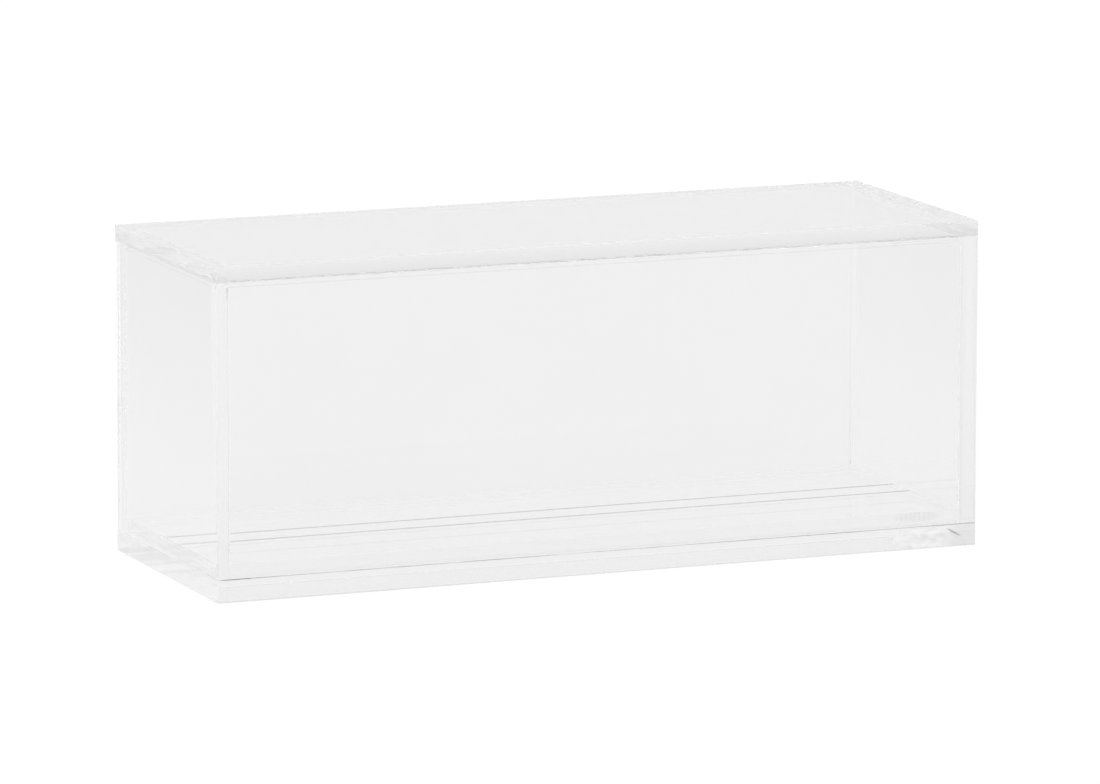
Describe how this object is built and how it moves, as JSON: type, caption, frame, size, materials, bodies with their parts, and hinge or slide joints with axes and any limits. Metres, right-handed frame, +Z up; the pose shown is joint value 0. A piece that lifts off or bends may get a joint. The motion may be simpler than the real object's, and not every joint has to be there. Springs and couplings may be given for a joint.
{
  "type": "display case",
  "caption": "Clear acrylic case for a long scale model: a box-shaped cover that lifts straight off a thick base with a rebated rim and narrow wheel grooves.",
  "frame": {"origin": "middle of the base's underside", "axes": "+Z up, +X along the case's length towards its right end, so the front faces -Y"},
  "size_m": [0.275, 0.1, 0.112],
  "materials": {
    "top_panel": "clear colourless acrylic, polished",
    "front_panel": "clear colourless acrylic, polished",
    "back_panel": "clear colourless acrylic, polished",
    "left_panel": "clear colourless acrylic, polished",
    "right_panel": "clear colourless acrylic, polished",
    "base": "clear colourless acrylic, polished, with fine milling marks in the rebate and grooves"
  },
  "bodies": {
    "base": {"base": "base"},
    "cover": {"top_panel": "top_panel", "front_panel": "front_panel", "back_panel": "back_panel", "left_panel": "left_panel", "right_panel": "right_panel"}
  },
  "joints": [
    {"name": "cover_lift", "type": "slide", "parent": "base", "child": "cover", "axis": [0, 0, 1], "range_m": [0, 0.12]}
  ]
}
